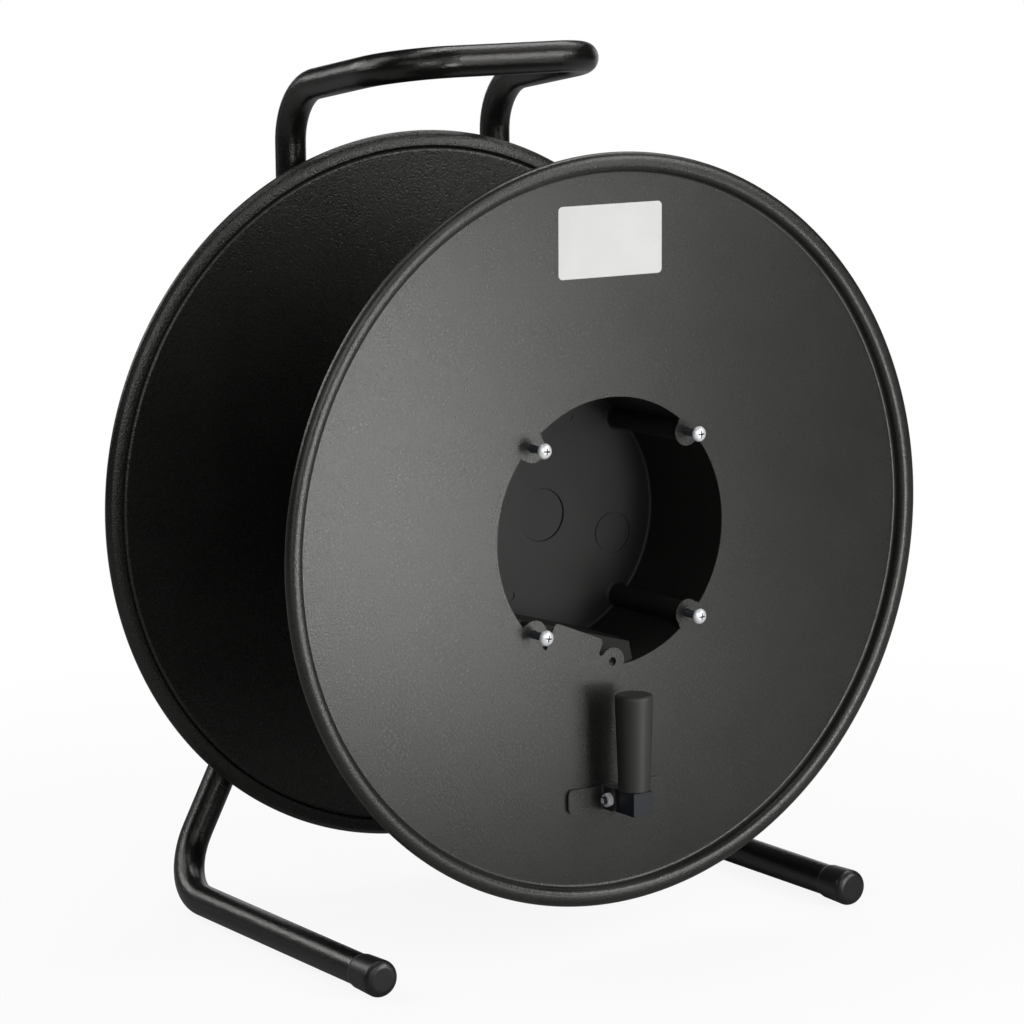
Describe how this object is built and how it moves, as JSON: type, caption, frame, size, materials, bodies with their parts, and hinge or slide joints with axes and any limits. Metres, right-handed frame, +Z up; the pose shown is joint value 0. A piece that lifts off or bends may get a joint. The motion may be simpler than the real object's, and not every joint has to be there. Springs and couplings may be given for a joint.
{
  "type": "cable reel",
  "caption": "Hand-carried steel cable reel: a flanged drum with a hollow core for a socket panel turns on a bent tube stand with a carrying handle, and has a folding crank.",
  "frame": {"origin": "on the floor, at the middle of the reel's outer box seen from above", "axes": "+Z up; the drum turns about an axis along Y and its open front, with the crank, faces -Y; +X is to the right as seen from the front"},
  "size_m": [0.4849, 0.3024, 0.5778],
  "materials": {
    "frame_tube": "black powder coat, satin gloss, with a fine orange-peel texture",
    "frame_plate": "black powder coat, satin",
    "flange_front": "black powder coat, low gloss, with a fine leather texture",
    "flange_back": "black powder coat, low gloss, with a fine leather texture",
    "core": "black moulded plastic, matt",
    "hub": "black moulded plastic, matt",
    "end_cap": "soft black plastic, slightly glossy",
    "zinc": "bright zinc plate",
    "bare_steel": "turned steel",
    "crank_block": "blue-black moulded plastic, semi-matt",
    "grip": "warm black moulded plastic, finely grained"
  },
  "bodies": {
    "frame": {"frame_tube": "frame_tube", "end_cap_left": "end_cap", "end_cap_right": "end_cap", "cross_member": "frame_plate", "axle": "bare_steel", "axle_washer": "zinc", "axle_nut": "zinc"},
    "drum": {"front_flange": "flange_front", "back_flange": "flange_back", "core": "core", "hub": "hub", "hub_cap": "core", "screw_top_left": "zinc", "screw_top_right": "zinc", "screw_bottom_left": "zinc", "screw_bottom_right": "zinc", "crank_bracket": "flange_front", "pivot_bolt": "zinc", "pivot_nut": "zinc"},
    "crank": {"crank_block": "crank_block", "grip_stud": "bare_steel"},
    "grip": {"crank_grip": "grip"}
  },
  "joints": [
    {"name": "drum_spin", "type": "hinge", "parent": "frame", "child": "drum", "pos_m": [0, 0, 0.2724], "axis": [0, 1, 0], "continuous": true},
    {"name": "crank_fold", "type": "hinge", "parent": "drum", "child": "crank", "pos_m": [0, -0.12552, 0.1009], "axis": [1, 0, 0], "range_deg": [0, 90]},
    {"name": "grip_spin", "type": "hinge", "parent": "crank", "child": "grip", "pos_m": [0, -0.13883, 0.12], "axis": [0, 0, 1], "continuous": true}
  ]
}
